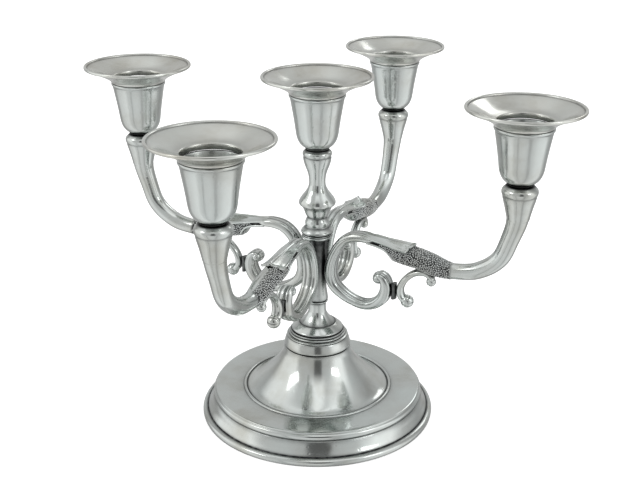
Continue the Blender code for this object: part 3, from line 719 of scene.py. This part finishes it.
def sweptMesh(name, stations, section, finish):
    # section(k, station) gives points (side, up, patina with any painted light) in mm, the same number at
    # every station
    bm = bmesh.new()
    patinaAndPaintedLight = []
    rings = []
    for k, station in enumerate(stations):
        ahead = stations[min(k + 1, len(stations) - 1)]
        behind = stations[max(k - 1, 0)]
        along = np.array(ahead[:2]) - np.array(behind[:2])
        along = along / np.linalg.norm(along)
        across = np.array((-along[1], along[0]))
        ring = []
        for side, up, patinaAndShade in section(k, station):
            spot = np.array(station[:2]) + across * up
            ring.append(bm.verts.new((spot[0] * mm, side * mm, spot[1] * mm)))
            patinaAndPaintedLight.append(patinaAndShade)
        rings.append(ring)
    closeRings(bm, rings)
    mesh = bpy.data.meshes.new(name)
    bm.to_mesh(mesh)
    bm.free()
    mesh.attributes.new("patinaAndShade", "FLOAT", "POINT").data.foreach_set("value", [float(p) for p in patinaAndPaintedLight])
    mesh.materials.append(metals[finish])
    mesh.shade_smooth()
    return mesh


def reededSection(k, station):
    # a flat bar with rounded edges and reeds along both its faces, dark between the reeds
    _, _, thick, wide = station
    half = scroll["halfWidth"] * wide
    count = scroll["edgePoints"]
    share = k / (scroll["samples"] * (len(scroll["path"]) - 1))
    points = []
    for face in (1, -1):
        shown = 1.0 if face < 0 else limited((share - scroll["reedsFrom"]) / 0.1, 0.05)
        for j in range(count):
            side = face * math.cos(math.pi * (j + 0.5) / count)
            edge = (1 - abs(side) ** 4) ** 0.5
            wave = abs(math.sin(math.pi * scroll["reeds"] * (side + 1) / 2))
            groove = (1 - wave) ** 2.2 * (0.35 + 0.65 * edge) * shown
            sunk = scroll["reedDepth"] * groove * edge
            stain = scroll["reedPatina"] * groove * edge
            points.append((side * half, face * (thick * edge - sunk), stain))
    return points


def aboveRim(reach, height):
    # 1 on the grained side of the rim, 0 on the smooth side
    line = tube["rim"]
    if reach >= line[-1][0]:
        return 1.0
    edge = np.interp(reach, [p[0] for p in line], [p[2] for p in line])
    return 1.0 if height > edge else 0.0


def textureLeftRoundTube(turn, paler):
    # how much of the texture and patina is left, going round the tube; the pale bare side is a painted
    # highlight
    return limited((math.cos(turn) - 0.05) / 0.3) if paler else 1.0


def roundSection(station, paler):
    # an oval, dark with patina between the leaf and the bare bend, lighter on top as painted highlight and
    # wear
    reach, height, radius, aside = station
    inside = limited((reach - tube["grainFrom"] + 2) / 2) * limited((tube["grainTo"] - reach + 0.5) / 1.5)
    points = []
    for j in range(tube["sides"]):
        turn = math.tau * j / tube["sides"]
        # painted highlight and wear: less patina on the top of the tube
        topHighlightAndWear = max(0.0, math.sin(turn)) ** 2
        grained = inside * aboveRim(reach, height + radius * math.sin(turn)) * textureLeftRoundTube(turn, paler)
        stain = grained * (tube["stain"] - tube["stainLiftedOnTopAsHighlightAndWear"] * topHighlightAndWear)
        points.append((aside * math.cos(turn), radius * math.sin(turn), stain))
    return points


def rimMesh():
    # a smooth bead down one side of the tube, under it and up the other side
    line = tube["rim"] + [(r, -s, z) for r, s, z in tube["rim"][-2::-1]]
    line = through(line, 6)
    sides = 12
    bm = bmesh.new()
    rings = []
    for k, spot in enumerate(line):
        along = Vector(line[min(k + 1, len(line) - 1)] - line[max(k - 1, 0)]).normalized()
        across = along.cross(Vector((0, 0, 1))).normalized()
        up = across.cross(along)
        ring = []
        for j in range(sides):
            turn = math.tau * j / sides
            place = Vector(spot) + (across * math.cos(turn) + up * math.sin(turn)) * tube["rimRadius"]
            ring.append(bm.verts.new(place * mm))
        rings.append(ring)
    closeRings(bm, rings)
    mesh = bpy.data.meshes.new("rim")
    bm.to_mesh(mesh)
    bm.free()
    mesh.attributes.new("patinaAndShade", "FLOAT", "POINT")
    mesh.materials.append(metals["polished"])
    mesh.shade_smooth()
    return mesh


def joined(name, meshes):
    # one mesh from several, each keeping its finish
    bm = bmesh.new()
    materials = []
    for mesh in meshes:
        moves = {}
        for k, material in enumerate(mesh.materials):
            if material not in materials:
                materials.append(material)
            moves[k] = materials.index(material)
        start = len(bm.faces)
        bm.from_mesh(mesh)
        bm.faces.ensure_lookup_table()
        for face in bm.faces[start:]:
            face.material_index = moves.get(face.material_index, 0)
    out = bpy.data.meshes.new(name)
    bm.to_mesh(out)
    bm.free()
    for material in materials:
        out.materials.append(material)
    out.shade_smooth()
    return out


budShape = {"notchDepth": 0.16, "notchNarrowness": 4.0, "notchPatina": 0.9}


def bud(centre, radius, notches, squash, finish):
    # a notched ball with its axis across the arm
    bm = bmesh.new()
    bmesh.ops.create_uvsphere(bm, u_segments=48, v_segments=24, radius=1.0)
    layer = bm.verts.layers.float.new("patinaAndShade")
    for vert in bm.verts:
        turn = math.atan2(vert.co.y, vert.co.x)
        girth = math.hypot(vert.co.x, vert.co.y)
        across = abs(math.sin(notches * turn / 2))
        groove = max(0.0, 1 - across * budShape["notchNarrowness"]) * girth
        vert[layer] = budShape["notchPatina"] * groove
        vert.co *= 1 - budShape["notchDepth"] * groove
        vert.co.z *= squash
    bm.transform(Matrix.Rotation(math.radians(90), 4, "X"))
    bm.transform(Matrix.Translation(Vector((centre[0], 0, centre[1])) * mm) @ Matrix.Scale(radius * mm, 4))
    mesh = bpy.data.meshes.new("bud")
    bm.to_mesh(mesh)
    bm.free()
    mesh.materials.append(metals[finish])
    mesh.shade_smooth()
    return mesh


def leafMesh():
    # a tongue saddled over the tube: hollow beside its midrib, with a raised lip round its lobed end
    bm = bmesh.new()
    layer = bm.verts.layers.float.new("patinaAndShade")
    grid = []
    for i in range(leaf["rows"] + 1):
        u = i / leaf["rows"]
        row = []
        for j in range(leaf["columns"] + 1):
            v = -1 + 2 * j / leaf["columns"]
            dip = leaf["notch"] * ridge(abs(v) - 0.5, 0.13)
            end = leaf["tip"] - leaf["lobe"] * abs(v) ** 1.2 - dip
            reach = leaf["from"] + (end - leaf["from"]) * u
            crown = leaf["crown"] - leaf["fall"] * u ** 1.2
            slope = limited((reach - leaf["saddleFrom"]) / leaf["saddleOver"])
            drop = leaf["droop"] + leaf["saddle"] * slope * slope * (3 - 2 * slope)
            half = leaf["halfWidth"] + leaf["flare"] * u ** 1.6
            rib = leaf["rib"] * ridge(v, 0.09)
            hollow = leaf["hollow"] * math.sin(math.pi * min(abs(v) * 1.05, 1)) * u
            lip = leaf["endLip"] * ridge(1 - u, 0.04) + leaf["sideLip"] * ridge(1 - abs(v), 0.08) * u
            height = crown - drop * abs(v) ** 1.8 + rib - hollow + lip
            vert = bm.verts.new((reach * mm, v * half * mm, height * mm))
            vert[layer] = leaf["veinPatina"] * ridge(abs(v) - 0.17, 0.05) * (1 - u * 0.5)
            row.append(vert)
        grid.append(row)
    for i in range(leaf["rows"]):
        for j in range(leaf["columns"]):
            bm.faces.new((grid[i][j], grid[i][j + 1], grid[i + 1][j + 1], grid[i + 1][j]))
    bmesh.ops.recalc_face_normals(bm, faces=bm.faces)
    if sum(face.normal.z for face in bm.faces) < 0:
        bmesh.ops.reverse_faces(bm, faces=bm.faces)
    mesh = bpy.data.meshes.new("leaf")
    bm.to_mesh(mesh)
    bm.free()
    mesh.materials.append(metals["polished"])
    sheet = bpy.data.objects.new("leaf", mesh)
    bpy.context.scene.collection.objects.link(sheet)
    solid = sheet.modifiers.new("wall", "SOLIDIFY")
    solid.thickness = leaf["thickness"] * mm
    solid.offset = -1.0
    edge = sheet.modifiers.new("edge", "BEVEL")
    edge.width = leaf["edge"] * mm
    edge.segments = 3
    edge.limit_method = "ANGLE"
    bpy.context.view_layer.update()
    made = bpy.data.meshes.new_from_object(sheet.evaluated_get(bpy.context.evaluated_depsgraph_get()))
    bpy.data.objects.remove(sheet)
    made.shade_smooth()
    return made


def stipplingTree():
    # small raised grains scattered over a surface, thinner where "density" is low
    tree = bpy.data.node_groups.new("stippling", "GeometryNodeTree")
    sockets = tree.interface
    sockets.new_socket("Skin", in_out="INPUT", socket_type="NodeSocketGeometry")
    sizes = (("Spacing", "Float", 0.0008), ("Radius", "Float", 0.0005), ("Seed", "Int", 1))
    for name, kind, value in sizes:
        socket = sockets.new_socket(name, in_out="INPUT", socket_type="NodeSocket" + kind)
        socket.default_value = value
    sockets.new_socket("Finish", in_out="INPUT", socket_type="NodeSocketMaterial")
    sockets.new_socket("Grains", in_out="OUTPUT", socket_type="NodeSocketGeometry")
    add, join = nodesOf(tree)
    given = add("NodeGroupInput")
    thin = add("GeometryNodeInputNamedAttribute", data_type="FLOAT", in_Name="density")
    spread = add("GeometryNodeDistributePointsOnFaces", distribute_method="POISSON")
    spread.inputs["Density Max"].default_value = 9000000.0  # so high that the spacing decides
    join(given.outputs["Skin"], spread.inputs["Mesh"])
    join(given.outputs["Spacing"], spread.inputs["Distance Min"])
    join(given.outputs["Seed"], spread.inputs["Seed"])
    join(thin.outputs[0], spread.inputs["Density Factor"])
    ball = add("GeometryNodeMeshUVSphere", in_Segments=10, in_Rings=6)
    join(given.outputs["Radius"], ball.inputs["Radius"])
    smooth = add("GeometryNodeSetShadeSmooth")
    join(ball.outputs["Mesh"], smooth.inputs["Geometry"])
    varied = add("FunctionNodeRandomValue", data_type="FLOAT_VECTOR")
    varied.inputs[0].default_value = grains["smallest"]
    varied.inputs[1].default_value = grains["largest"]
    join(given.outputs["Seed"], varied.inputs["Seed"])
    placed = add("GeometryNodeInstanceOnPoints")
    join(spread.outputs["Points"], placed.inputs["Points"])
    join(smooth.outputs[0], placed.inputs["Instance"])
    join(spread.outputs["Rotation"], placed.inputs["Rotation"])
    join(varied.outputs[0], placed.inputs["Scale"])
    whole = add("GeometryNodeRealizeInstances")
    join(placed.outputs[0], whole.inputs[0])
    coated = add("GeometryNodeSetMaterial")
    join(whole.outputs[0], coated.inputs["Geometry"])
    join(given.outputs["Finish"], coated.inputs["Material"])
    out = add("NodeGroupOutput")
    join(coated.outputs[0], out.inputs[0])
    return tree


stippling = stipplingTree()


def grainMesh(stations, paler):
    # grains stand on the tube from the slot to the bare bend, above the rim and clear of the leaf
    sides = grains["skinSides"]
    bm = bmesh.new()
    layer = bm.verts.layers.float.new("density")
    rings = []
    for k, station in enumerate(stations):
        reach, height, radius, aside = station
        ahead = stations[min(k + 1, len(stations) - 1)]
        behind = stations[max(k - 1, 0)]
        along = np.array(ahead[:2]) - np.array(behind[:2])
        across = np.array((-along[1], along[0])) / np.linalg.norm(along)
        ring = []
        for j in range(sides):
            turn = math.tau * j / sides
            spot = np.array((reach, height)) + across * radius * math.sin(turn)
            vert = bm.verts.new((spot[0] * mm, aside * math.cos(turn) * mm, spot[1] * mm))
            fade = min(1.0, (tube["grainTo"] - reach) / grains["thinOver"] + 0.25)
            underLeaf = reach < leaf["tip"] - grains["coverTo"] and spot[1] > grains["coverAbove"]
            if underLeaf or reach < tube["pebblesFrom"]:
                fade = 0.0
            vert[layer] = fade * aboveRim(reach, spot[1] - grains["rimGap"]) * textureLeftRoundTube(turn, paler)
            ring.append(vert)
        rings.append(ring)
    closeRings(bm, rings, capped=False)
    skin = bpy.data.meshes.new("skin")
    bm.to_mesh(skin)
    bm.free()
    blank = bpy.data.objects.new("skin", skin)
    bpy.context.scene.collection.objects.link(blank)
    values = {
        "Spacing": grains["spacing"] * mm,
        "Radius": grains["radius"] * mm,
        "Seed": grains["seed"],
        "Finish": metals["grain"],
    }
    made = applied(blank, stippling, values)
    bpy.data.objects.remove(blank)
    return made


ornament = {
    "path": [
        (46.9, 67.4, 1.7), (44.9, 68.6, 1.8), (43.6, 70.4, 1.8), (43.2, 72.6, 1.75), (43.7, 75.3, 1.7),
        (45.9, 79.0, 1.65), (49.8, 82.3, 1.6), (54.0, 83.5, 1.6), (57.0, 82.8, 1.55), (58.6, 81.0, 1.4),
        (58.6, 79.4, 1.2),
    ],
    "buds": [((46.8, 67.6), 3.15, 6, 1.0), ((58.3, 79.6), 2.3, 6, 1.0)],  # given as the scroll's boss is
    "wide": 1.45,  # width beside thickness
    "groove": 0.16,
    "webPatina": 0.8,
    "bar": [(40.0, 67.9, 1.2, 2.2), (40.1, 70.2, 1.2, 1.9), (40.1, 73.2, 1.2, 1.9), (40.0, 75.4, 1.2, 2.2)],
    "web": [(49.6, 83.0, 0.7, 1.3), (53.0, 84.6, 1.3, 1.6), (57.0, 84.6, 1.5, 1.7), (60.6, 83.6, 1.4, 1.5)],
}


def ornamentSection(k, station):
    # a bar that is wider than it is thick, with one groove along each face
    radius = station[2]
    points = []
    for j in range(32):
        turn = math.tau * j / 32
        side, up = math.cos(turn), math.sin(turn)
        groove = max(0.0, 1 - abs(side) * 3.2) * ornament["groove"]
        points.append((side * radius * ornament["wide"], up * radius * (1 - groove), 3.5 * groove))
    return points


def darkSection(k, station):
    # the solder webs between the castings, black with patina
    _, _, thick, wide = station
    points = []
    for j in range(24):
        turn = math.tau * j / 24
        points.append((math.cos(turn) * wide, math.sin(turn) * thick, ornament["webPatina"]))
    return points


def ornamentMesh():
    meshes = [
        sweptMesh("smallScroll", through(ornament["path"], 6), ornamentSection, "polished"),
        sweptMesh("bar", through(ornament["bar"], 4), darkSection, "polished"),
        sweptMesh("web", through(ornament["web"], 5), darkSection, "polished"),
    ]
    for centre, radius, notches, squash in ornament["buds"]:
        meshes.append(bud(centre, radius, notches, squash, "polished"))
    return joined("ornament", meshes)


def makeArms():
    strap = sweptMesh("strap", through(scroll["path"], scroll["samples"]), reededSection, "polished")
    strapMesh = joined("strap", [strap, bud(*scroll["boss"], "polished")])
    stations = through(tube["path"], tube["samples"])
    zone = [s for s in stations if tube["grainFrom"] - 1 <= s[0] <= tube["grainTo"]]
    vase = turnedMesh(tube["vase"], 96, "polished")
    vase.transform(Matrix.Translation((tube["path"][-1][0] * mm, 0, 0)))
    rim = rimMesh()
    tubes = {}
    # one arm's tube is left bare and pale along one side, as a painted highlight
    for paler in (False, True):
        bare = sweptMesh("tube", stations, lambda k, s, w=paler: roundSection(s, w), "polished")
        tubes[paler] = (joined("tube", [bare, vase, rim]), grainMesh(zone, paler))
    tongue = leafMesh()
    under = ornamentMesh()
    for k, direction in enumerate(directions):
        turn = math.tau * k / 4
        tubeMesh, grain = tubes[direction == tube["bareSideArm"]]
        castings = (
            ("arm_scroll_", strapMesh, ["arm_" + direction]),
            ("arm_tube_", tubeMesh, ()),
            ("arm_leaf_", tongue, ()),
            ("arm_grain_", grain, ()),
            ("small_scroll_", under, ["ornament_" + direction]),
        )
        for name, mesh, replaced in castings:
            addPiece(name + direction, moved(mesh, turn=turn), "column", replaced)


makeArms()
print("arms, leaves and small scrolls are in place")

# the tie rod with its nut and washer, the dowels and the studs stay as they are, in plain steel

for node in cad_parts.values():
    if node.hide_render:
        continue
    node.data.materials.clear()
    node.data.materials.append(metals["steel"])
print("fastening is coated")
